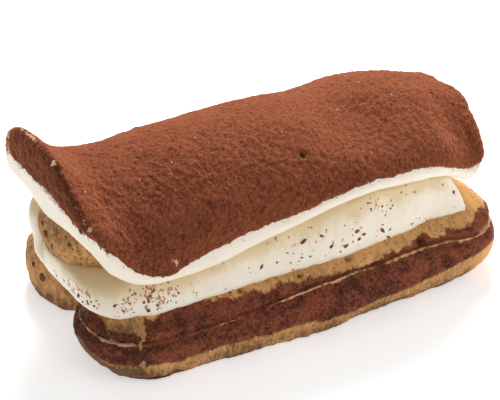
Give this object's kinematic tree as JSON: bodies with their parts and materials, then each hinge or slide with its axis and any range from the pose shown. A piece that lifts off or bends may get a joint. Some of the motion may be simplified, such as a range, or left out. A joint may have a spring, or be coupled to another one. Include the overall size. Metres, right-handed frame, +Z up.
{
  "type": "tiramisu portion",
  "caption": "Rectangular tiramisu portion: soaked ladyfingers layered with mascarpone cream, under a draped cream top dusted with cocoa.",
  "frame": {"origin": "on the surface the portion stands on, under the middle of its outline", "axes": "+X along the ladyfingers, +Y from the open front to the back, +Z up"},
  "size_m": [0.1141, 0.0641, 0.0502],
  "materials": {
    "sponge": "matte baked sponge, coffee-stained brown in bands",
    "cream": "soft ivory mascarpone cream",
    "cocoa": "dry cocoa powder, matte and grainy"
  },
  "bodies": {
    "root": {"ladyfinger_front": "sponge", "ladyfinger_back": "sponge", "ladyfinger_upper": "sponge", "cream_lower": "cream", "cream_top": "cream", "cocoa_dusting": "cocoa"}
  },
  "joints": []
}
